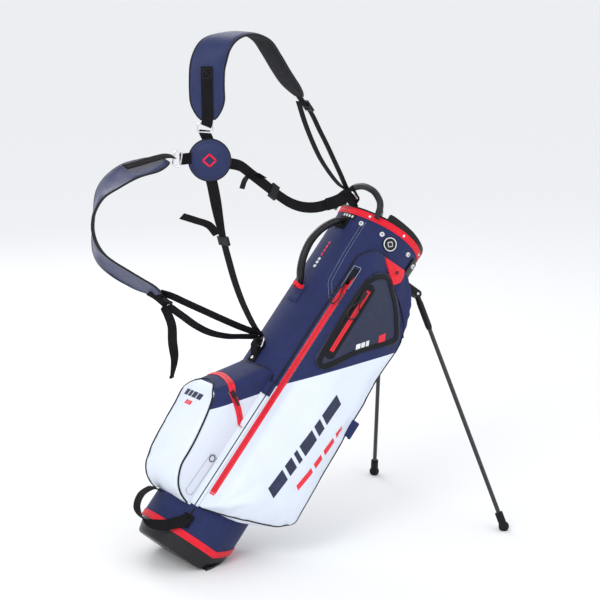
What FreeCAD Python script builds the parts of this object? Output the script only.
"""Golf stand bag with a double shoulder harness, standing on its heel plate and two open legs.

The bag is drawn upright in its own frame: x points to the legs, y across, z up the bag.
It is then leaned back onto the floor. The harness is drawn standing, in the leaned frame.
Units are millimetres.
"""

import FreeCAD, Part
import math
import os
from FreeCAD import Vector

# ---------------------------------------------------------------- driving dimensions
BAG_LENGTH = 860.0
TUBE_RADIUS = 104.0
WALL = 2.0
LEAN = 40.0
HEEL_CORNER = 24.0
WEBBING = 25.0
WEBBING_THICK = 2.4
PAD_WIDTH = 74.0
PAD_THICK = 12.0
HUB_RADIUS = 45.0

# ---------------------------------------------------------------- values worked out from them
LEAN_RAD = math.radians(LEAN)
SIN_LEAN = math.sin(LEAN_RAD)
COS_LEAN = math.cos(LEAN_RAD)
BAG_LIFT = HEEL_CORNER * SIN_LEAN
FLOOR_FACE_MIDDLE = 45.0
ORIGIN_SHIFT = HEEL_CORNER * COS_LEAN + FLOOR_FACE_MIDDLE
SKIN_GAP = 0.3
RIM_RADIUS = TUBE_RADIUS + 1.5
SADDLE_RISE = 9.0
SADDLE_RADIUS = RIM_RADIUS ** 2 / (2 * SADDLE_RISE)
RIM_Z = BAG_LENGTH - 4
BAND_HEIGHT = 15.0
BAND_TOP = RIM_Z - 4
COLLAR_LOW = 822.0
LIP_RISE = 13.0
HANDLE_FOOT_EDGE = -61.0
MOUTH_BAR_DEPTH = 24.0
MOUTH_BAR_LOW = RIM_Z - 30
FAR = 400.0

# heel plate hinge
KNUCKLE_RADIUS = 6.5
PIVOT_X = HEEL_CORNER - KNUCKLE_RADIUS * math.tan(LEAN_RAD / 2)
PIVOT_Z = KNUCKLE_RADIUS
HEEL_THICK = 5.5
KNUCKLE_HALF = 61.5
LUG_INNER = 62.0
LUG_WIDTH = 12.0
PIN_RADIUS = 3.0
PIN_HALF = 74.0
RUNNING_FIT = 0.06
CUP_FOOT_RADIUS = 92.0
CUP_TOP_RADIUS = TUBE_RADIUS - WALL - 0.5
TONGUE_WIDTH = 24.0
TONGUE_START = 82.0
TONGUE_RUN = 37.0
EAR_RUN = 6.0
EAR_HEIGHT = 3.5

# legs
LEG_HINGE = Vector(131, 65, 785)
FOOT_SPREAD = 250.0
FOOT_REACH = 723.0
FOOT_HEIGHT = 9.0
LEG_RADIUS = 5.0
FERRULE_RADIUS = 7.5
FERRULE_LENGTH = 78.0
EYE_RADIUS = 9.0
EYE_WIDTH = 14.0
CHEEK = 4.0
CHEEK_GAP = 0.4
BRACKET_THICK = 4.5
SOCKET_START = 34.0
FOOT_RADIUS = 12.0

# actuator rod
ROD_RADIUS = 2.5
ROD_X = TUBE_RADIUS + 12
ROD_TOP = 752.0
ROD_FOOT_X = TUBE_RADIUS + 5.5
ROD_FOOT = 81.5
YOKE_Z = 726.0
GUIDE_HEIGHTS = (250, 430, 610)

# pockets
POCKET_BACK = (-76.0, -71.0)
POCKET_CORNER = (-60.0, -132.0)
POCKET_FACE = (-32.0, -150.0)
BALL_HALF_WIDTH = 70.0

# zips
TAPE_THICK = 1.6
LONG_ZIP = (150.0, 704.0)
PHONE_ZIP = (536.0, 688.0)
LONG_ZIP_WIDTH = 15.0
PHONE_ZIP_WIDTH = 9.0
BALL_ZIP_CENTRE = (-221.0, 169.0)
BALL_ZIP_RADIUS = 192.0
BALL_ZIP_WIDTH = 11.0
BALL_ZIP_ARC = (41.0, 69.0)
CORD_RADIUS = 1.5
SLIDER_THICK = 3.2
SLIDER_LIFT = TAPE_THICK + SKIN_GAP

# harness anchors on the spine
RING_WIRE = 2.0
SWING_X = -(TUBE_RADIUS + 9)
LOWER_RING_Z = 472.0
UPPER_RING_Z = 870.0
NARROW_WEBBING = 20.0
SEWN_WEBBING_THICK = 2.6

PARTS = {}
PARTS_UPRIGHT = {}


def add(name, shape):
    """Keep one solid, or one group of separate solids, under its node name."""
    PARTS[name] = shape


def lean(shape):
    """Turn a shape from the upright bag frame to the bag's standing lean."""
    leaned = shape.copy()
    leaned.rotate(Vector(0, 0, 0), Vector(0, 1, 0), LEAN)
    leaned.translate(Vector(0, 0, BAG_LIFT))
    return leaned


def keep(name, shape):
    """Store a shape of the upright bag frame, for later cuts and for export."""
    PARTS_UPRIGHT[name] = shape
    add(name, lean(shape))


def standing(point):
    """The place in the leaned frame of a point that is given in the bag frame."""
    x = point.x * COS_LEAN + point.z * SIN_LEAN
    z = -point.x * SIN_LEAN + point.z * COS_LEAN + BAG_LIFT
    return Vector(x, point.y, z)


def upright(vector):
    """The direction in the bag frame of a direction that is given in the leaned frame."""
    x = vector.x * COS_LEAN - vector.z * SIN_LEAN
    z = vector.x * SIN_LEAN + vector.z * COS_LEAN
    return Vector(x, vector.y, z)


# ---------------------------------------------------------------- shape helpers
def shift(point, direction, distance):
    """The point a distance along a direction from another point."""
    return point.add(Vector(direction).multiply(distance))


def largest(shape):
    """The biggest solid of a cut shape, without the slivers."""
    return sorted(shape.Solids, key=lambda solid: solid.Volume)[-1]


def prism(points, direction):
    """A closed outline of 3-D points pushed along a direction."""
    wire = Part.makePolygon(points + [points[0]])
    return Part.Face(wire).extrude(direction)


def prism_y(outline, y0, y1):
    """An (x, z) outline pushed across the bag from y0 to y1."""
    return prism([Vector(x, y0, z) for x, z in outline], Vector(0, y1 - y0, 0))


def prism_z(outline, z0, z1):
    """An (x, y) outline pushed up from z0 to z1."""
    return prism([Vector(x, y, z0) for x, y in outline], Vector(0, 0, z1 - z0))


def prism_x(outline, x0, x1):
    """A (y, z) outline pushed forward from x0 to x1."""
    return prism([Vector(x0, y, z) for y, z in outline], Vector(x1 - x0, 0, 0))


def pipe_ring(outer, inner, z0, z1):
    ring = Part.makeCylinder(outer, z1 - z0, Vector(0, 0, z0))
    return ring.cut(Part.makeCylinder(inner, z1 - z0 + 2, Vector(0, 0, z0 - 1)))


def tube_core(radius=TUBE_RADIUS):
    return Part.makeCylinder(radius, BAG_LENGTH + 200, Vector(0, 0, -100))


def rod(start, end, radius):
    """A round bar from one point to another."""
    axis = end.sub(start)
    return Part.makeCylinder(radius, axis.Length, start, axis)


def bar_about(centre, axis, reach, radius):
    """A round bar on an axis, reaching equally to both sides of a point."""
    return rod(shift(centre, axis, -reach), shift(centre, axis, reach), radius)


def block(centre, along, across, length, width, thick):
    """A box centred on a point, its length along one direction and its width across."""
    along = Vector(along).normalize()
    across = Vector(across)
    across = across.sub(Vector(along).multiply(across.dot(along))).normalize()
    normal = along.cross(across)
    corner = shift(shift(shift(centre, along, -length / 2), across, -width / 2), normal, -thick / 2)
    beside = shift(corner, across, width)
    base = [corner, beside, shift(beside, normal, thick), shift(corner, normal, thick)]
    return prism(base, Vector(along).multiply(length))


def rounded_path(points, share=0.45):
    """Straight runs joined by tangent arcs, each as large as its two runs allow."""
    edges = []
    radii = []
    last = points[0]
    for before, here, after in zip(points, points[1:], points[2:]):
        back = before.sub(here)
        ahead = after.sub(here)
        turn = math.pi - back.getAngle(ahead)
        trim = share * min(back.Length, ahead.Length)
        radii.append(trim / math.tan(turn / 2))
        start = shift(here, Vector(back).normalize(), trim)
        end = shift(here, Vector(ahead).normalize(), trim)
        bisector = Vector(back).normalize().add(Vector(ahead).normalize()).normalize()
        sag = radii[-1] / math.cos(turn / 2) - radii[-1]
        edges.append(Part.LineSegment(last, start).toShape())
        edges.append(Part.Arc(start, shift(here, bisector, sag), end).toShape())
        last = end
    edges.append(Part.LineSegment(last, points[-1]).toShape())
    return Part.Wire(edges), radii


def swept_tube(points, radius, label=None):
    """A round tube along a rounded path. A labelled one prints its radii and volumes."""
    wire, radii = rounded_path(points)
    start = Vector(points[1]).sub(points[0])
    circle = Part.Wire(Part.makeCircle(radius, points[0], start))
    tube = wire.makePipeShell([circle], True, False)
    if label:
        expected = math.pi * radius ** 2 * wire.Length
        print(label, "length", round(wire.Length, 1), "radii", [round(r, 1) for r in radii])
        print(label, "volume ratio", round(tube.Volume / expected, 4))
    return tube


def link_ring(centre, along, across, length, width, wire_radius, corner):
    """A rectangular ring of round wire with rounded corners."""
    along = Vector(along).normalize()
    across = Vector(across)
    across = across.sub(Vector(along).multiply(across.dot(along))).normalize()

    def place(a, b):
        return shift(shift(centre, along, a), across, b)

    a = length / 2
    b = width / 2
    bend = corner * (1 - math.sqrt(0.5))
    edges = []
    for i, j in ((1, 1), (-1, 1), (-1, -1), (1, -1)):
        first, last = (a, b - corner), (a - corner, b)
        if i * j < 0:
            first, last = last, first
        start = place(i * first[0], j * first[1])
        middle = place(i * (a - bend), j * (b - bend))
        end = place(i * last[0], j * last[1])
        if edges:
            edges.append(Part.LineSegment(edges[-1].Vertexes[-1].Point, start).toShape())
        edges.append(Part.Arc(start, middle, end).toShape())
    edges.append(Part.LineSegment(edges[-1].Vertexes[-1].Point, edges[0].Vertexes[0].Point).toShape())
    wire = Part.Wire(edges)
    start = edges[-1].Vertexes[0].Point
    heading = edges[-1].Vertexes[-1].Point.sub(start)
    middle = shift(start, heading, 0.5)
    half = Part.LineSegment(middle, edges[-1].Vertexes[-1].Point).toShape()
    rest = Part.LineSegment(start, middle).toShape()
    wire = Part.Wire([half] + edges[:-1] + [rest])
    circle = Part.Wire(Part.makeCircle(wire_radius, middle, heading))
    return wire.makePipeShell([circle], True, False)


def strip(points, facing, width, thick):
    """A flat band along points. Each facing is its width direction there."""
    sections = []
    count = len(points)
    for i in range(count):
        ahead = points[min(i + 1, count - 1)]
        back = points[max(i - 1, 0)]
        along = Vector(ahead).sub(back).normalize()
        across = Vector(facing[i])
        across = across.sub(Vector(along).multiply(across.dot(along))).normalize()
        normal = Vector(along.cross(across))
        middle = Vector(points[i])
        side = Vector(across).multiply(width / 2)
        up = Vector(normal).multiply(thick / 2)
        corners = [middle.add(side).add(up), middle.sub(side).add(up)]
        corners += [middle.sub(side).sub(up), middle.add(side).sub(up)]
        sections.append(Part.makePolygon(corners + [corners[0]]))
    return Part.makeLoft(sections, True, False)


def above_saddle(height):
    """The space over a saddle that is higher at both sides than at front and back."""
    start = Vector(-FAR, 0, height + SADDLE_RADIUS)
    return Part.makeCylinder(SADDLE_RADIUS, 2 * FAR, start, Vector(1, 0, 0))


def saddle_ring(outer, inner, low, high):
    """A ring between two saddle surfaces, low and high at front and back."""
    ring = pipe_ring(outer, inner, low - 10, high + 2 * SADDLE_RISE)
    return ring.cut(above_saddle(high)).common(above_saddle(low))


# ---------------------------------------------------------------- base
def base_line(rise):
    """The (x, z) line that the base band follows, raised over the heel at the front."""
    return [(-130, 34 + rise), (20, 34 + rise), (130, 88 + rise)]


def heel_half_space(offset):
    """Everything on the floor side of the heel slope, raised by an offset."""
    x = HEEL_CORNER - offset / SIN_LEAN
    run = FAR * COS_LEAN
    rise = FAR * SIN_LEAN
    outline = [(x - run, -rise), (x + run, rise), (x + run, -rise - 10)]
    return prism_y(outline, -FAR, FAR)


def cup_blank(inset, floor):
    """The turned shape of the cup, shrunk by an inset for its inner side."""
    shoulder = 40.0
    top = 140.0
    chamfer = 4.0
    profile = [(0, floor), (CUP_FOOT_RADIUS - chamfer - inset, floor)]
    profile += [(CUP_FOOT_RADIUS - inset, floor + chamfer), (CUP_TOP_RADIUS - inset, shoulder)]
    profile += [(CUP_TOP_RADIUS - inset, top), (0, top)]
    face = Part.Face(Part.makePolygon([Vector(r, 0, z) for r, z in profile + profile[:1]]))
    return face.revolve(Vector(0, 0, 0), Vector(0, 0, 1), 360)


def make_base_cup():
    """The moulded foot of the bag, with two lugs for the heel plate's pin."""
    wall = 3.0
    slope_gap = HEEL_THICK + 0.7
    outer = cup_blank(0, 0).cut(heel_half_space(slope_gap))
    inner = cup_blank(wall, wall).cut(heel_half_space(slope_gap + wall))
    top = base_line(8)
    cap = prism_y(top + [(130, 200), (-130, 200)], -FAR, FAR)
    cup = outer.cut(inner).cut(cap)
    pivot = Vector(PIVOT_X, 0, PIVOT_Z)
    across = Vector(0, 1, 0)
    cup = cup.cut(bar_about(pivot, across, LUG_INNER, KNUCKLE_RADIUS + 0.6))
    for side in (-1, 1):
        start = shift(pivot, across, side * LUG_INNER)
        end = shift(start, across, side * LUG_WIDTH)
        cup = cup.fuse(rod(start, end, KNUCKLE_RADIUS - 0.5))
    bore = bar_about(pivot, across, 2 * LUG_INNER, PIN_RADIUS)
    return cup.cut(bore).removeSplitter()


def make_heel_pin():
    return bar_about(Vector(PIVOT_X, 0, PIVOT_Z), Vector(0, 1, 0), PIN_HALF, PIN_RADIUS)


def make_heel_plate():
    """The tilting plate under the heel, drawn flat on the floor side of the slope."""
    across = Vector(0, 1, 0)
    along = Vector(COS_LEAN, 0, SIN_LEAN)
    normal = Vector(-SIN_LEAN, 0, COS_LEAN)
    pivot = Vector(PIVOT_X, 0, PIVOT_Z)
    reach = Part.makeCylinder(CUP_FOOT_RADIUS + 9, 200, Vector(0, 0, -60))
    slab = heel_half_space(HEEL_THICK).cut(heel_half_space(0)).common(reach)
    lug_room = bar_about(pivot, across, FAR, KNUCKLE_RADIUS + 1.5)
    behind = Part.makeBox(PIVOT_X + FAR, 2 * FAR, FAR, Vector(-FAR, -FAR, -FAR / 2))
    slab = largest(slab.cut(lug_room).cut(behind))
    knuckle = bar_about(pivot, across, KNUCKLE_HALF, KNUCKLE_RADIUS)
    floor_point = shift(pivot, normal, -KNUCKLE_RADIUS)
    web_run = 16.0
    middle = shift(shift(floor_point, along, web_run / 2), normal, HEEL_THICK / 2)
    web = block(middle, along, across, web_run, 2 * KNUCKLE_HALF, HEEL_THICK)
    bore = bar_about(pivot, across, FAR, PIN_RADIUS + RUNNING_FIT)
    plate = slab.fuse([knuckle, web]).cut(bore)
    middle = shift(shift(floor_point, along, TONGUE_START + TONGUE_RUN / 2), normal, HEEL_THICK / 2)
    tongue = block(middle, along, across, TONGUE_RUN, TONGUE_WIDTH, HEEL_THICK)
    ears = []
    for side in (-1, 1):
        spot = shift(floor_point, along, TONGUE_START + TONGUE_RUN - EAR_RUN / 2)
        spot = shift(shift(spot, normal, HEEL_THICK + EAR_HEIGHT / 2), across, side * 6.5)
        ears.append(block(spot, along, across, EAR_RUN, 3, EAR_HEIGHT))
    return plate.fuse([tongue] + ears).removeSplitter()


def make_base_band():
    outline = base_line(0) + list(reversed(base_line(BAND_HEIGHT)))
    ring = pipe_ring(TUBE_RADIUS + 1.4, TUBE_RADIUS, 0, 160)
    return ring.common(prism_y(outline, -FAR, FAR))


def make_shell():
    shell = pipe_ring(TUBE_RADIUS, TUBE_RADIUS - WALL, 0, BAG_LENGTH + 20)
    low = base_line(2)
    below = prism_y(low + [(130, -50), (-130, -50)], -FAR, FAR)
    return shell.cut(below).cut(above_saddle(BAND_TOP - BAND_HEIGHT))


def make_stays():
    """Three spring stays inside the cloth, which hold the collar off the base cup."""
    solids = []
    radius = 3.0
    ring = TUBE_RADIUS - WALL - radius - 0.2
    spine_foot = 42.0
    side_foot = 48.8
    side_rise = 6.6
    for angle, low, high in (
        (72, side_foot, COLLAR_LOW + side_rise),
        (180, spine_foot, COLLAR_LOW),
        (288, side_foot, COLLAR_LOW + side_rise),
    ):
        x = ring * math.cos(math.radians(angle))
        y = ring * math.sin(math.radians(angle))
        solids.append(Part.makeCylinder(radius, high - low, Vector(x, y, low)))
    return Part.makeCompound(solids)


# ---------------------------------------------------------------- mouth
def make_collar():
    """The moulded ring that holds the mouth open. Its lip is highest beside the handle."""
    inner = saddle_ring(TUBE_RADIUS - WALL, TUBE_RADIUS - 7, COLLAR_LOW, RIM_Z)
    lip = saddle_ring(RIM_RADIUS + 0.6, TUBE_RADIUS - WALL - 0.1, BAND_TOP, RIM_Z)
    raised = saddle_ring(RIM_RADIUS + 0.6, TUBE_RADIUS - WALL - 0.1, BAND_TOP, RIM_Z + LIP_RISE)
    fall = [(HANDLE_FOOT_EDGE, RIM_Z + 20), (0, RIM_Z + 18), (60, RIM_Z + 12), (106, RIM_Z + 2)]
    fall += [(106, RIM_Z - 20), (HANDLE_FOOT_EDGE, RIM_Z - 20)]
    raised = raised.common(prism_y(fall, -FAR, FAR))
    return inner.fuse([lip, raised]).removeSplitter()


def make_rim_band():
    return saddle_ring(RIM_RADIUS, TUBE_RADIUS - WALL, BAND_TOP - BAND_HEIGHT, BAND_TOP)


def cross_walls(reach, thick, low, height):
    """Two walls that cross on the bag's axis."""
    walls = Part.makeBox(2 * reach, thick, height, Vector(-reach, -thick / 2, low))
    return walls.fuse(Part.makeBox(thick, 2 * reach, height, Vector(-thick / 2, -reach, low)))


def make_divider_cross():
    """The padded cross bar pair that splits the mouth into four."""
    thick = 9.0
    reach = TUBE_RADIUS - 7.2
    bars = cross_walls(reach, thick, MOUTH_BAR_LOW, MOUTH_BAR_DEPTH)
    return bars.common(tube_core(reach)).removeSplitter()


def make_divider_panels():
    """Cloth walls that run down the tube from the cross bars."""
    thick = 1.6
    reach = TUBE_RADIUS - WALL - 8
    low = 110.0
    return cross_walls(reach, thick, low, MOUTH_BAR_LOW - low).removeSplitter()


def make_top_handle():
    """The moulded carrying arch over the spine side of the mouth."""
    grip = 7.5
    side = 71.0
    points = [Vector(-78, -side, 852), Vector(-86, -67, 884), Vector(-101, -42, 903)]
    points += [Vector(-106, 0, 910)]
    points += [Vector(-101, 42, 903), Vector(-86, 67, 884), Vector(-78, side, 852)]
    arch = swept_tube(points, grip)
    feet = []
    for way in (-1, 1):
        foot = block(Vector(-78, way * side, 858), Vector(0, 0, 1), Vector(0.9, way * -0.99, 0), 22, 34, 11)
        feet.append(foot)
    ledge = tube_core(RIM_RADIUS + 8).cut(above_saddle(RIM_Z))
    return largest(arch.fuse(feet).cut(ledge))


# ---------------------------------------------------------------- handles and small fittings
def make_side_handle():
    """The padded grab handle on the spine."""
    points = [Vector(-106, -5, 816), Vector(-125, -5, 798), Vector(-142, -5, 768)]
    points += [Vector(-149, -5, 733), Vector(-144, -5, 698), Vector(-131, -5, 668), Vector(-111, -5, 644)]
    return swept_tube(points, 9.0).cut(tube_core(TUBE_RADIUS + 3.2))


def make_side_handle_loops():
    """Webbing patches that hold both ends of the grab handle."""
    loops = []
    for z, height in ((812, 34), (628, 44)):
        patch = Part.makeBox(20, 30, height, Vector(-(TUBE_RADIUS + 3), -20, z - height / 2))
        layer = pipe_ring(TUBE_RADIUS + 3, TUBE_RADIUS, z - height, z + height)
        loops.append(patch.common(layer))
    return Part.makeCompound(loops)


def make_base_handle():
    """The webbing loop low on the spine, used to lift the foot of the bag."""
    path = [Vector(-106, 24, 96), Vector(-130, 20, 88), Vector(-150, 8, 62), Vector(-150, -10, 34)]
    path += [Vector(-128, -34, 22), Vector(-104, -54, 32), Vector(-87, -70, 50), Vector(-74, -82, 72)]
    facing = [Vector(0, 1, 0)] * 3 + [Vector(0, 1, -0.1), Vector(-0.2, 0.9, 0.3), Vector(-0.4, 0.6, 0.6)]
    facing += [Vector(-0.49, 0.49, 0.73)] * 2
    loop = strip(path, facing, WEBBING, WEBBING_THICK + 0.6)
    return largest(loop.cut(tube_core(TUBE_RADIUS + 1.6)))


def make_badge():
    """A plain round disc on the cuff."""
    angle = math.radians(253)
    out = Vector(math.cos(angle), math.sin(angle), 0)
    start = shift(Vector(0, 0, 818), out, TUBE_RADIUS - 4)
    disc = Part.makeCylinder(17.5, 12, start, out)
    return disc.common(pipe_ring(TUBE_RADIUS + 2.2, TUBE_RADIUS, 780, 850))


def make_snaps():
    """Four small snap studs round the cuff, the last one on the leg bracket."""
    studs = []
    for angle, height, seat in ((209, 824, 0), (238, 826, 0), (283, 828, 0), (303, 818, BRACKET_THICK)):
        turn = math.radians(angle)
        out = Vector(math.cos(turn), math.sin(turn), 0)
        stud = Part.makeCylinder(5.5, 14, shift(Vector(0, 0, height), out, TUBE_RADIUS - 3), out)
        studs.append(stud.common(pipe_ring(TUBE_RADIUS + seat + 2.6, TUBE_RADIUS + seat, 780, 850)))
    return Part.makeCompound(studs)


# ---------------------------------------------------------------- pockets
POCKET_SIDE = [(-80, 101), (-42, 112), (15, 124), (55, 140), (90, 162), (121, 192), (130, 225), (129, 265)]
POCKET_SIDE += [(122, 350), (116, 430), (113, 540), (112, 635), (105, 680), (98, 720), (84, 762), (55, 797)]
POCKET_SIDE += [(21, 800), (-25, 795), (-55, 786), (-70, 768), (-80, 735)]
POCKET_DEPTH = [(0, 101), (-78, 101), (-125, 124), (-158, 165), (-172, 215), (-174, 265), (-167, 340)]
POCKET_DEPTH += [(-160, 430), (-156, 540), (-155, 630), (-149, 690), (-132, 745), (-104, 796), (0, 801)]


def straight_edges(points):
    """Straight edges in plan between following (x, y) points."""
    spots = [Vector(x, y, 0) for x, y in points]
    return [Part.LineSegment(a, b).toShape() for a, b in zip(spots, spots[1:])]


def pocket_plan():
    """The (x, y) outline of the side pocket, with a curved outer face."""
    curve = Part.BSplineCurve()
    face = [POCKET_FACE, (10, -166), (60, -172), (104, -168), (124, -150), (126, -120), (108, -70)]
    curve.interpolate([Vector(x, y, 0) for x, y in face])
    corner = [POCKET_BACK, POCKET_CORNER, POCKET_FACE]
    close = [face[-1], (60, -30), (-30, -40), POCKET_BACK]
    edges = straight_edges(corner) + [curve.toShape()] + straight_edges(close)
    return Part.Face(Part.Wire(edges))


def pocket_body():
    plan = pocket_plan()
    plan.translate(Vector(0, 0, 90))
    body = plan.extrude(Vector(0, 0, 720))
    body = body.common(prism_y(POCKET_SIDE, -FAR, 0))
    return body.common(prism_x(POCKET_DEPTH, -FAR, FAR))


def make_apparel_pocket():
    pocket = pocket_body().cut(tube_core()).cut(make_bracket())
    return largest(pocket)


def back_facet():
    """The long zip's facet: its middle point, and its out and along-the-plan directions."""
    start = Vector(*POCKET_BACK, 0)
    end = Vector(*POCKET_CORNER, 0)
    run = end.sub(start).normalize()
    out = Vector(run.y, -run.x, 0)
    return shift(start, end.sub(start), 0.44), out, run


def face_facet():
    """The phone pocket zip's facet, in the same three parts."""
    start = Vector(*POCKET_CORNER, 0)
    end = Vector(*POCKET_FACE, 0)
    run = end.sub(start).normalize()
    out = Vector(run.y, -run.x, 0)
    return shift(start, end.sub(start), 0.5), out, run


def facet_block(facet, low, high, width, under, thick):
    """A box on a pocket facet, its bottom a little over the cloth."""
    middle, out, run = facet
    centre = shift(middle, out, under + thick / 2).add(Vector(0, 0, (low + high) / 2))
    return block(centre, Vector(0, 0, 1), run, high - low, width, thick)


PAD_LIFT = 7.0
PAD_OUTLINE = [(-61, 505), (-50, 489), (-36, 489), (19, 566), (76, 624), (92, 642), (90, 658), (66, 692)]
PAD_OUTLINE += [(36, 727), (18, 737), (7, 741), (0, 752), (-8, 758), (-20, 756), (-44, 742), (-57, 723)]
PAD_OUTLINE += [(-61, 702)]


def make_phone_pocket():
    """The raised pocket on the side pocket's outer face."""
    middle, out, run = face_facet()
    base = pocket_body()
    lifted = base.copy()
    lifted.translate(Vector(out).multiply(PAD_LIFT))
    outline = prism_y(PAD_OUTLINE, -FAR, -80)
    pad = lifted.common(outline).cut(base)
    return largest(pad)


def make_red_flap():
    """A folded cloth tab over the side pocket's top."""
    base = pocket_body()
    lifted = base.copy()
    lifted.translate(Vector(0, -3.0, 1.5))
    outline = prism_y([(-6, 796), (4, 748), (14, 742), (44, 756), (40, 792)], -FAR, -80)
    neighbours = [base, tube_core(TUBE_RADIUS + 0.2), PARTS_UPRIGHT["phone_pocket"]]
    return largest(lifted.common(outline).cut(neighbours))


BALL_OUTLINE = [(-60, 98), (-104, 98), (-132, 109), (-152, 128), (-162, 160), (-168, 210), (-176, 290)]
BALL_OUTLINE += [(-182, 318), (-180, 338), (-168, 352), (-104, 437), (-60, 437)]


# how far the pocket's roof has dropped at each place across, with its far side rounder
BALL_ARCH = [(-70, 20), (-67, 9), (-58, 2), (-45, 0), (22, 0), (40, 8), (55, 22), (65, 42), (70, 66)]


def make_ball_pocket():
    """The ball pocket on the spine, deepest at its top."""
    body = prism_y(BALL_OUTLINE, -BALL_HALF_WIDTH, BALL_HALF_WIDTH)
    half = BALL_HALF_WIDTH
    front_half = half - 16
    plan = [(-60, -half), (-150, -half), (-200, -front_half)]
    plan += [(-200, front_half), (-150, half), (-60, half)]
    arch = [Vector(-40, y, 522 - drop) for y, drop in BALL_ARCH]
    arch += [Vector(-40, half, -400), Vector(-40, -half, -400)]
    body = body.common(prism(arch, Vector(-192, 0, -255)))
    body = body.common(prism_z(plan, 0, 500)).cut(tube_core())
    return largest(body)


def ball_zip_sector(width, y0, y1, start, end):
    """A piece of the ball pocket zip's arc, between two angles in degrees."""
    x, z = BALL_ZIP_CENTRE
    inner = BALL_ZIP_RADIUS - width / 2
    outer = BALL_ZIP_RADIUS + width / 2
    steps = 14
    angles = [math.radians(start + (end - start) * i / steps) for i in range(steps + 1)]
    outline = [(x + outer * math.cos(a), z + outer * math.sin(a)) for a in angles]
    outline += [(x + inner * math.cos(a), z + inner * math.sin(a)) for a in reversed(angles)]
    return prism_y(outline, y0, y1)


def make_ball_zip():
    side = -BALL_HALF_WIDTH
    tape = ball_zip_sector(BALL_ZIP_WIDTH, side - TAPE_THICK, side, *BALL_ZIP_ARC)
    return tape.cut(tube_core())


def make_leg_keeper():
    """A cloth tab round the side pocket's front edge, where the folded leg is tied."""
    base = pocket_body()
    lifted = base.copy()
    lifted.translate(Vector(2.0, -1.2, 0))
    tab = lifted.common(Part.makeBox(60, 60, 44, Vector(96, -180, 408))).cut(base)
    return largest(tab)


# ---------------------------------------------------------------- zip sliders and their cords
def slider_on_facet(facet, top):
    """A slider body with a bridge and a short pull plate, riding over the tape."""
    body = facet_block(facet, top - 16, top, 10, SLIDER_LIFT, SLIDER_THICK)
    bridge = facet_block(facet, top - 13, top - 3, 3, SLIDER_LIFT + SLIDER_THICK, 2.6)
    pull = facet_block(facet, top - 27, top - 9, 6, SLIDER_LIFT + 5.0, 1.6)
    return body.fuse([bridge, pull]).removeSplitter()


PULL_LOOP = [(-1.8, 27.4, 0), (-3.5, 34, 0.6), (-8, 41, 1.0), (-11, 50, 1.2), (-10.5, 60, 1.4)]
PULL_LOOP += [(-6, 68, 1.5), (1, 71, 1.6), (7.5, 67, 1.5), (11, 59, 1.4), (11, 49, 1.2)]
PULL_LOOP += [(7.5, 40.5, 1.0), (3.5, 34, 0.6), (1.8, 27.4, 0)]


def pull_cord(facet, top, label):
    """The limp loop on a slider's pull plate, drawn by (across, down, rise) points."""
    middle, out, run = facet
    lift = SLIDER_LIFT + 5.8
    points = []
    for across, down, rise in PULL_LOOP:
        spot = shift(shift(middle, run, across), out, lift + rise)
        points.append(spot.add(Vector(0, 0, top - down)))
    return swept_tube(points, CORD_RADIUS, label)


def make_ball_slider():
    """The ball pocket zip's slider, curved to its tape, with a flat pull."""
    low = BALL_ZIP_ARC[1] - 5.0
    high = BALL_ZIP_ARC[1] - 0.5
    under = -BALL_HALF_WIDTH - SLIDER_LIFT
    over = under - SLIDER_THICK
    body = ball_zip_sector(10, over, under, low, high)
    pull = ball_zip_sector(5, over - 1.6, over, low - 6, high - 2)
    return body.fuse(pull).removeSplitter()


# ---------------------------------------------------------------- legs
def leg_frame(side):
    """A leg's hinge point, its direction when open, its fold direction and hinge axis."""
    hinge = Vector(LEG_HINGE.x, side * LEG_HINGE.y, LEG_HINGE.z)
    foot = Vector(FOOT_REACH, side * FOOT_SPREAD, FOOT_HEIGHT)
    run = upright(foot.sub(standing(hinge)))
    length = run.Length
    run.normalize()
    folded = Vector(0, 0, -1)
    outward = Vector(run.x, run.y, 0).normalize()
    axis = folded.cross(outward)
    return hinge, run, length, outward, axis


def make_bracket():
    """The moulded saddle under the cuff, with a fork for each leg."""
    saddle = pipe_ring(TUBE_RADIUS + BRACKET_THICK, TUBE_RADIUS, 768, 832)
    saddle_edge = 48.0
    behind = Part.makeBox(2 * FAR, 2 * FAR, FAR, Vector(saddle_edge - 2 * FAR, -FAR, 700))
    saddle = saddle.cut(behind)
    arm_run = 56.0
    cheeks = []
    bores = []
    for side in (-1, 1):
        hinge, run, length, outward, axis = leg_frame(side)
        for way in (-1, 1):
            end = shift(hinge, axis, way * (EYE_WIDTH / 2 + CHEEK_GAP + CHEEK / 2))
            cheeks.append(bar_about(end, axis, CHEEK / 2, EYE_RADIUS))
            middle = shift(end, outward, -arm_run / 2)
            cheeks.append(block(middle, outward, Vector(0, 0, 1), arm_run, 2 * EYE_RADIUS, CHEEK))
        bores.append(bar_about(hinge, axis, 40, PIN_RADIUS))
    cord_lug = Part.makeBox(30, 14, 12, Vector(105, -27, 793))
    bracket = saddle.fuse(cheeks + [cord_lug]).cut(tube_core())
    return bracket.cut(bores).removeSplitter()


def make_leg_pins():
    pins = []
    reach = EYE_WIDTH / 2 + CHEEK_GAP + CHEEK + 1.5
    for side in (-1, 1):
        hinge, run, length, outward, axis = leg_frame(side)
        pins.append(bar_about(hinge, axis, reach, PIN_RADIUS))
    return Part.makeCompound(pins)


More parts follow.
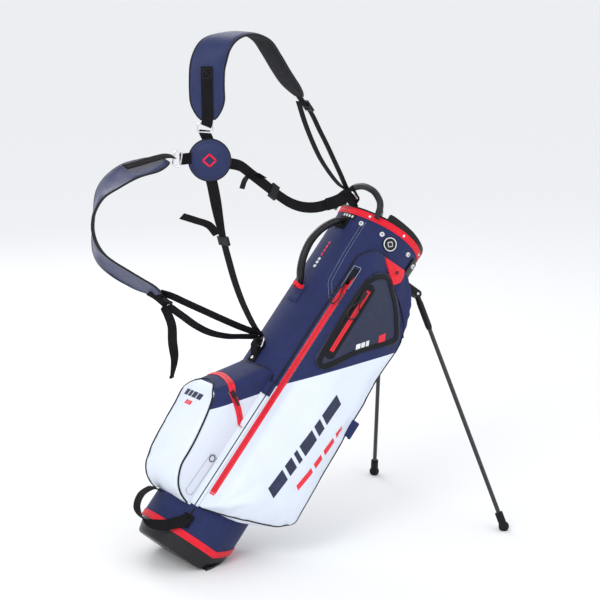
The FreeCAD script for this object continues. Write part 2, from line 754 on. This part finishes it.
def make_ferrule(side):
    """The moulded top of a leg, with the eye that turns on its pin."""
    hinge, run, length, outward, axis = leg_frame(side)
    eye = bar_about(hinge, axis, EYE_WIDTH / 2, EYE_RADIUS)
    neck = rod(hinge, shift(hinge, run, 24), EYE_WIDTH / 2 - 0.4)
    end = shift(hinge, run, FERRULE_LENGTH)
    barrel = rod(shift(hinge, run, 20), end, FERRULE_RADIUS)
    taper = Part.makeCone(FERRULE_RADIUS, LEG_RADIUS + 1, 8, end, run)
    bore = bar_about(hinge, axis, 40, PIN_RADIUS + RUNNING_FIT)
    socket = rod(shift(hinge, run, SOCKET_START), shift(hinge, run, length), LEG_RADIUS)
    return eye.fuse([neck, barrel, taper]).cut([bore, socket]).removeSplitter()


def make_leg_tube(side):
    hinge, run, length, outward, axis = leg_frame(side)
    outer = rod(shift(hinge, run, SOCKET_START), shift(hinge, run, length - FOOT_RADIUS), LEG_RADIUS)
    inner = rod(shift(hinge, run, SOCKET_START - 4), shift(hinge, run, length), LEG_RADIUS - 1)
    return outer.cut(inner)


def floor_slab():
    """Everything below the floor, drawn in the upright bag frame."""
    slab = Part.makeBox(4 * FAR, 4 * FAR, FAR, Vector(-FAR, -2 * FAR, -FAR))
    slab.translate(Vector(0, 0, -BAG_LIFT))
    slab.rotate(Vector(0, 0, 0), Vector(0, 1, 0), -LEAN)
    return slab


def make_foot(side):
    """The rubber foot, with its sole cut level with the floor."""
    hinge, run, length, outward, axis = leg_frame(side)
    tip = shift(hinge, run, length)
    barrel = rod(shift(tip, run, -34), tip, FOOT_RADIUS - 3)
    sole = Part.makeSphere(FOOT_RADIUS, tip)
    socket = rod(shift(tip, run, -60), shift(tip, run, -FOOT_RADIUS), LEG_RADIUS)
    return barrel.fuse(sole).cut([floor_slab(), socket]).removeSplitter()


# ---------------------------------------------------------------- actuator rod
def make_rod():
    """The steel rod that the heel plate pushes up to open the legs."""
    points = [Vector(ROD_FOOT_X, 0, ROD_FOOT), Vector(ROD_FOOT_X, 0, ROD_FOOT + 20)]
    points += [Vector(ROD_X, 0, ROD_FOOT + 52), Vector(ROD_X, 0, ROD_FOOT + 90)]
    low = swept_tube(points, ROD_RADIUS)
    high = rod(Vector(ROD_X, 0, ROD_FOOT + 90), Vector(ROD_X, 0, ROD_TOP), ROD_RADIUS)
    return low.fuse(high).removeSplitter()


def make_yoke():
    """The cross block near the rod's top, which pushes both legs."""
    bar = block(Vector(ROD_X + 1, 0, YOKE_Z), Vector(0, 1, 0), Vector(0, 0, 1), 74, 12, 9)
    return bar.cut(rod(Vector(ROD_X, 0, 600), Vector(ROD_X, 0, 800), ROD_RADIUS))


def make_rod_guides():
    """Moulded loops on the front of the tube that the rod slides in."""
    guides = []
    start = 90.0
    for z in GUIDE_HEIGHTS:
        body = Part.makeBox(ROD_X + 7 - start, 16, 12, Vector(start, -8, z))
        hole = rod(Vector(ROD_X, 0, z - 5), Vector(ROD_X, 0, z + 20), ROD_RADIUS + 0.4)
        guides.append(body.cut(tube_core()).cut(hole))
    return Part.makeCompound(guides)


# ---------------------------------------------------------------- leg cord
LEG_CORD = [Vector(606, -20, 540), Vector(606, -20, 526), Vector(607, -20, 510)]
LEG_CORD += [Vector(606, -21, 494), Vector(603, -21, 476), Vector(600, -20, 457), Vector(598, -19, 440)]
LEG_CORD_RADIUS = 2.0


def make_leg_cord():
    return swept_tube(LEG_CORD, LEG_CORD_RADIUS, "leg_cord")


def make_leg_cord_toggles():
    """A round stopper part way down the cord and a small end stop."""
    knob = Part.makeSphere(8.5, LEG_CORD[3].add(Vector(4, 0, 0)))
    hole = swept_tube(LEG_CORD, LEG_CORD_RADIUS)
    end = Part.makeCylinder(5, 18, LEG_CORD[-1], Vector(0.1, 0, -1))
    return Part.makeCompound([knob.cut(hole), end])


# ---------------------------------------------------------------- harness anchors on the bag
def webbing_loop(outer, inner):
    """A loop of webbing seen from the side, by its outer and inner outlines."""
    half = WEBBING / 2
    return prism_y(outer, -half, half).cut(prism_y(inner, -half - 1, half + 1))


def make_lower_anchor():
    """The lower loop, sewn to the spine below its ring."""
    skin = -TUBE_RADIUS
    bar = SWING_X
    low = LOWER_RING_Z
    outer = [(skin, low - 34), (skin, low + 13), (bar + 4, low + 17), (bar - 4, low + 17)]
    outer += [(bar - 9, low + 11), (bar - 9, low - 2), (skin - 3, low - 20), (skin - 3, low - 34)]
    inner = [(skin - 2.4, low - 10), (skin - 2.4, low + 11), (bar + 3, low + 14.6)]
    inner += [(bar - 3, low + 14.6), (bar - 6.6, low + 10), (bar - 6.6, low - 1)]
    return webbing_loop(outer, inner).cut(tube_core())


def make_upper_anchor():
    """The upper loop, which stands on the collar's lip over the spine."""
    bar = SWING_X
    top = UPPER_RING_Z
    rim = -(TUBE_RADIUS - 6)
    outer = [(rim, RIM_Z + 0.4), (rim, RIM_Z + 5), (bar + 9, top - 6), (bar + 9, top + 4)]
    outer += [(bar + 4, top + 9), (bar - 4, top + 9), (bar - 9, top + 4), (bar - 9, top - 5)]
    outer += [(bar - 4, top - 10), (-RIM_RADIUS, RIM_Z + 0.4)]
    inner = [(bar + 6.6, top - 4), (bar + 6.6, top + 3), (bar + 3, top + 6.6), (bar - 3, top + 6.6)]
    inner += [(bar - 6.6, top + 3), (bar - 6.6, top - 4), (bar - 3, top - 7.4), (bar + 3, top - 7.4)]
    return webbing_loop(outer, inner)


def make_anchor_loops():
    """Webbing loops on the spine that hold the harness rings, roomy enough to swing."""
    return Part.makeCompound([make_lower_anchor(), make_upper_anchor()])


LOWER_RING_LEAN = Vector(-0.3, 0, 0.954)
UPPER_RING_LEAN = Vector(-0.98, 0, 0.2)
RING_LENGTH = 22.0
RING_WIDTH = 35.0


def make_anchor_rings():
    """The two chrome rings on the spine, which turn with the harness."""
    rings = []
    for z, way in ((LOWER_RING_Z, LOWER_RING_LEAN), (UPPER_RING_Z, UPPER_RING_LEAN)):
        centre = shift(Vector(SWING_X, 0, z), way, RING_LENGTH / 2)
        rings.append(link_ring(centre, way, Vector(0, 1, 0), RING_LENGTH, RING_WIDTH, RING_WIRE, 5.0))
    return Part.makeCompound(rings)


# ---------------------------------------------------------------- harness, drawn standing
HUB = Vector(102, 0, 866)
SIDE = Vector(0.83, -0.556, 0)
FRONT = Vector(-0.556, -0.83, 0)
ACROSS = Vector(0, 1, 0)
PAD_UP = [Vector(99, 0, 952), Vector(98, 0, 990), Vector(97, 0, 1030), Vector(101, 0, 1068)]
PAD_UP += [Vector(119, 0, 1102), Vector(153, 0, 1122), Vector(195, 0, 1126), Vector(232, 0, 1112)]
PAD_UP += [Vector(258, 0, 1080), Vector(280, 0, 1048), Vector(303, 0, 1018), Vector(328, 0, 990)]
PAD_UP_FACING = [Vector(-0.83, 0.556, 0)] * 4
PAD_UP_FACING += [Vector(-0.55, 0.8, 0.1), Vector(-0.2, 1, 0.05)] + [ACROSS] * 6
PAD_LEFT = [Vector(-4, 0, 873), Vector(-42, 0, 865), Vector(-88, 0, 856), Vector(-130, 0, 834)]
PAD_LEFT += [Vector(-160, 0, 804), Vector(-174, 0, 762), Vector(-170, 0, 716), Vector(-148, 0, 676)]
PAD_LEFT += [Vector(-110, 0, 644), Vector(-68, 0, 617), Vector(-30, 0, 594)]
PAD_LEFT_FACING = [Vector(0, 0.96, 0.26)] * 3
PAD_LEFT_FACING += [Vector(0.12, 0.96, 0.2), Vector(0.35, 0.92, 0.05), Vector(0.5, 0.86, 0)]
PAD_LEFT_FACING += [Vector(0.35, 0.93, -0.1), Vector(0.05, 0.97, -0.22)]
PAD_LEFT_FACING += [Vector(-0.12, 0.96, -0.24)] * 3


def make_upper_pad():
    return strip(PAD_UP, PAD_UP_FACING, PAD_WIDTH, PAD_THICK)


def make_left_pad():
    return strip(PAD_LEFT, PAD_LEFT_FACING, PAD_WIDTH, PAD_THICK)


def make_hub():
    """The padded disc where the two shoulder pads meet."""
    thick = 10.0
    start = shift(HUB, FRONT, thick / 2)
    disc = Part.makeCylinder(HUB_RADIUS, thick, start, Vector(FRONT).multiply(-1))
    return disc.makeFillet(2.5, disc.Edges)


def make_hub_rings():
    """The two chrome rings beside the hub."""
    upper = link_ring(Vector(92, 0, 934), Vector(0.1, 0, 1), SIDE, 17, 32, RING_WIRE, 4.5)
    left = link_ring(Vector(24, 0, 874), Vector(0.97, 0, -0.2), Vector(0, 0, 1), 18, 32, RING_WIRE, 4.5)
    return Part.makeCompound([upper, left])


def make_hub_tabs():
    """Short webbing tabs behind the hub that hold its two rings."""
    behind = shift(HUB, FRONT, -6.7)
    upper = [behind.add(Vector(-1, 0, 12)), behind.add(Vector(-5, 0, 44)), Vector(92, 3.6, 929)]
    upper_tab = strip(upper, [SIDE] * 3, WEBBING, SEWN_WEBBING_THICK)
    left = [behind.add(Vector(-14, 0, 1)), behind.add(Vector(-40, 0, 4)), Vector(31, 4.6, 873)]
    left_tab = strip(left, [Vector(0, 0, 1)] * 3, WEBBING, SEWN_WEBBING_THICK)
    return Part.makeCompound([upper_tab, left_tab])


def make_pad_straps():
    """Webbing sewn on each pad, which ends in a fold on its ring."""
    lift = PAD_THICK / 2 + 1.9
    upper = [shift(Vector(x, 0, z), FRONT, lift) for x, z in ((98, 1046), (98, 1000), (99, 958))]
    upper.append(Vector(95, -3.4, 938))
    upper_strap = strip(upper, [SIDE] * 4, WEBBING, SEWN_WEBBING_THICK)
    left = [Vector(-92, -2, 865), Vector(-46, -2, 874), Vector(-6, -2, 883), Vector(17, 0, 879)]
    facing = [Vector(0, 0.96, 0.26)] * 3 + [ACROSS]
    left_strap = strip(left, facing, WEBBING, SEWN_WEBBING_THICK)
    return Part.makeCompound([upper_strap, left_strap])


def make_buckle(centre, along, length):
    """A flat plastic adjuster with two webbing slots."""
    plate = block(centre, along, ACROSS, length, 30, 5)
    slots = []
    for step in (-6.5, 6.5):
        slots.append(block(shift(centre, along, step), along, ACROSS, 5, WEBBING * 0.86, 20))
    return plate.cut(slots)


def make_pad_buckles():
    """The plastic adjusters at the outer ends of both pads."""
    upper = make_buckle(Vector(348, 0, 968), Vector(0.6, 0, -0.8), 28)
    left = make_buckle(Vector(-12, 0, 580), Vector(0.85, 0, -0.5), 26)
    return Part.makeCompound([upper, left])


def make_upper_strands():
    """Webbing from the upper pad down to the upper spine ring."""
    first = [Vector(322, 0, 984), Vector(342, 0, 934), Vector(362, 0, 890), Vector(384, 0, 850)]
    first += [Vector(410, 0, 815), Vector(434, 0, 789), Vector(446, 0, 778)]
    second = [Vector(363, 0, 944), Vector(382, 0, 912), Vector(402, 0, 878), Vector(421, 0, 843)]
    second += [Vector(438, 0, 812), Vector(449, 0, 790), Vector(454, 0, 777)]
    front = strip(first, [ACROSS] * len(first), NARROW_WEBBING, WEBBING_THICK)
    back = strip(second, [ACROSS] * len(second), NARROW_WEBBING, WEBBING_THICK)
    return Part.makeCompound([front, back])


TILTED = Vector(0.28, -0.7, 0.65)


def make_lower_strands():
    """Webbing from the left pad's buckle across to the lower spine ring."""
    first = [Vector(4, 0, 586), Vector(40, 0, 567), Vector(86, 0, 543), Vector(132, 0, 519)]
    first += [Vector(176, 0, 497), Vector(216, 0, 478)]
    second = [Vector(2, 0, 562), Vector(30, 0, 540), Vector(64, 0, 514), Vector(100, 0, 494)]
    second += [Vector(142, 0, 481), Vector(178, 0, 474)]
    upper = strip(first, [TILTED] * len(first), NARROW_WEBBING, WEBBING_THICK)
    lower = strip(second, [TILTED] * len(second), NARROW_WEBBING, WEBBING_THICK)
    return Part.makeCompound([upper, lower.cut(upper)])


RIM_STRAP = [Vector(150, 0, 856), Vector(178, 0, 848), Vector(206, 0, 828), Vector(236, 0, 806)]
RIM_STRAP += [Vector(268, 0, 782), Vector(302, 0, 760), Vector(336, 0, 747), Vector(372, 0, 743)]
RIM_STRAP += [Vector(408, 0, 748), Vector(438, 0, 759), Vector(454, 0, 767.5)]
RIM_STRAP_FACING = [Vector(0.1, 0.2, 1)] * 4 + [Vector(0.35, 0.3, 0.9)] * 3
RIM_STRAP_FACING += [Vector(0, 0.35, 1)] * 2 + [Vector(0, 1, 0.6)] * 2
RING_STRAP = [Vector(107, 0, 818), Vector(114, 0, 786), Vector(122, 0, 744), Vector(132, 0, 700)]
RING_STRAP += [Vector(146, 0, 650), Vector(162, 0, 598), Vector(182, 0, 548), Vector(208, 0, 498)]


def make_rim_strap():
    """Webbing from the hub to the upper spine ring."""
    return strip(RIM_STRAP, RIM_STRAP_FACING, WEBBING, WEBBING_THICK)


def make_ring_strap():
    """Webbing from the hub down to the lower spine ring."""
    facing = [Vector(0.83, -0.556, 0)] * 2 + [Vector(0.5, -0.85, 0)] + [Vector(0.15, -1, 0)] * 5
    return strip(RING_STRAP, facing, WEBBING, WEBBING_THICK)


def make_strap_sliders():
    """The three-bar sliders that set the length of both hub straps."""
    rim = block(Vector(262, 0, 786.5), Vector(0.8, 0, -0.6), Vector(0.35, 0.3, 0.9), 20, 33, 6)
    ring = block(Vector(134.5, 0, 691), Vector(0.27, 0, -0.96), Vector(0.15, -1, 0), 20, 33, 6)
    return Part.makeCompound([rim.cut(make_rim_strap()), ring.cut(make_ring_strap())])


def make_strap_tails():
    """The loose ends of the webbing beyond its adjusters."""
    pad_tail = [Vector(-16, 0, 563), Vector(-2, 0, 546), Vector(6, 0, 520)]
    pad_tail += [Vector(6, 0, 486), Vector(10, 0, 448), Vector(2, 0, 408)]
    ring_tail = [Vector(118, 0, 706), Vector(98, 0, 728), Vector(66, 0, 741), Vector(32, 0, 754)]
    rim_tail = [Vector(238, 0, 820), Vector(214, 0, 832), Vector(190, 0, 820), Vector(180, 0, 798)]
    tails = []
    tails.append(strip(pad_tail, [Vector(0.5, -0.86, 0)] * 6, NARROW_WEBBING, WEBBING_THICK))
    tails.append(strip(ring_tail, [Vector(0.2, -0.7, 0.7)] * 4, NARROW_WEBBING, WEBBING_THICK))
    tails.append(strip(rim_tail, [ACROSS] * 4, NARROW_WEBBING, WEBBING_THICK))
    return Part.makeCompound(tails)


# ---------------------------------------------------------------- assembly
def trimmed(group, neighbours):
    """Each solid of a group, cut back to clear its neighbours."""
    solids = []
    for solid in group.Solids:
        left = solid.cut(neighbours)
        solids.append(largest(left))
    return Part.makeCompound(solids)


def build():
    keep("base_cup", make_base_cup())
    keep("heel_pin", make_heel_pin())
    keep("heel_plate", make_heel_plate())
    keep("base_band", make_base_band())
    keep("bag_shell", make_shell())
    keep("spring_stays", make_stays())
    keep("top_collar", make_collar())
    keep("rim_band", make_rim_band())
    keep("divider_cross", make_divider_cross())
    keep("divider_panels", make_divider_panels())
    keep("top_handle", make_top_handle())
    keep("side_handle", make_side_handle())
    keep("side_handle_patches", make_side_handle_loops())
    keep("base_handle", make_base_handle())
    keep("badge", make_badge())
    keep("cuff_snaps", make_snaps())
    keep("apparel_pocket", make_apparel_pocket())
    keep("apparel_zip", facet_block(back_facet(), *LONG_ZIP, LONG_ZIP_WIDTH, 0, TAPE_THICK))
    keep("phone_pocket", make_phone_pocket())
    middle, out, run = face_facet()
    raised = (shift(middle, out, PAD_LIFT), out, run)
    keep("phone_zip", facet_block(raised, *PHONE_ZIP, PHONE_ZIP_WIDTH, 0, TAPE_THICK))
    keep("red_flap", make_red_flap())
    keep("ball_pocket", make_ball_pocket())
    keep("ball_zip", make_ball_zip())
    keep("leg_keeper", make_leg_keeper())
    keep("apparel_slider", slider_on_facet(back_facet(), LONG_ZIP[1] - 4))
    keep("apparel_pull", pull_cord(back_facet(), LONG_ZIP[1] - 4, "apparel_pull"))
    keep("phone_slider", slider_on_facet(raised, PHONE_ZIP[1] - 2))
    keep("phone_pull", pull_cord(raised, PHONE_ZIP[1] - 2, "phone_pull"))
    keep("ball_slider", make_ball_slider())
    keep("leg_bracket", make_bracket())
    keep("leg_pins", make_leg_pins())
    for name, side in (("near", -1), ("far", 1)):
        keep(name + "_leg_ferrule", make_ferrule(side))
        keep(name + "_leg_tube", make_leg_tube(side))
        keep(name + "_leg_foot", make_foot(side))
    keep("actuator_rod", make_rod())
    keep("rod_yoke", make_yoke())
    keep("rod_guides", make_rod_guides())
    keep("anchor_loops", make_anchor_loops())
    keep("anchor_rings", make_anchor_rings())
    add("leg_cord", make_leg_cord())
    add("leg_cord_toggles", make_leg_cord_toggles())
    add("upper_pad", make_upper_pad())
    add("left_pad", make_left_pad())
    add("hub", make_hub())
    add("hub_rings", make_hub_rings())
    add("hub_tabs", trimmed(make_hub_tabs(), [PARTS["hub"], PARTS["hub_rings"]]))
    pads = [PARTS["upper_pad"], PARTS["left_pad"], PARTS["hub_rings"], PARTS["hub"]]
    add("pad_straps", trimmed(make_pad_straps(), pads))
    add("pad_buckles", make_pad_buckles())
    add("upper_strands", make_upper_strands())
    add("lower_strands", make_lower_strands())
    add("rim_strap", make_rim_strap())
    add("ring_strap", make_ring_strap())
    add("strap_sliders", make_strap_sliders())
    add("strap_tails", trimmed(make_strap_tails(), [PARTS["rim_strap"], PARTS["ring_strap"]]))


def export():
    os.makedirs("parts", exist_ok=True)
    for name, shape in PARTS.items():
        shape.translate(Vector(-ORIGIN_SHIFT, 0, 0))
        shape.exportStep("parts/" + name + ".step")
        volume = sum(solid.Volume for solid in shape.Solids) / 1000
        print(name, "solids", len(shape.Solids), "valid", shape.isValid(), "cm3", round(volume, 2))


build()
export()
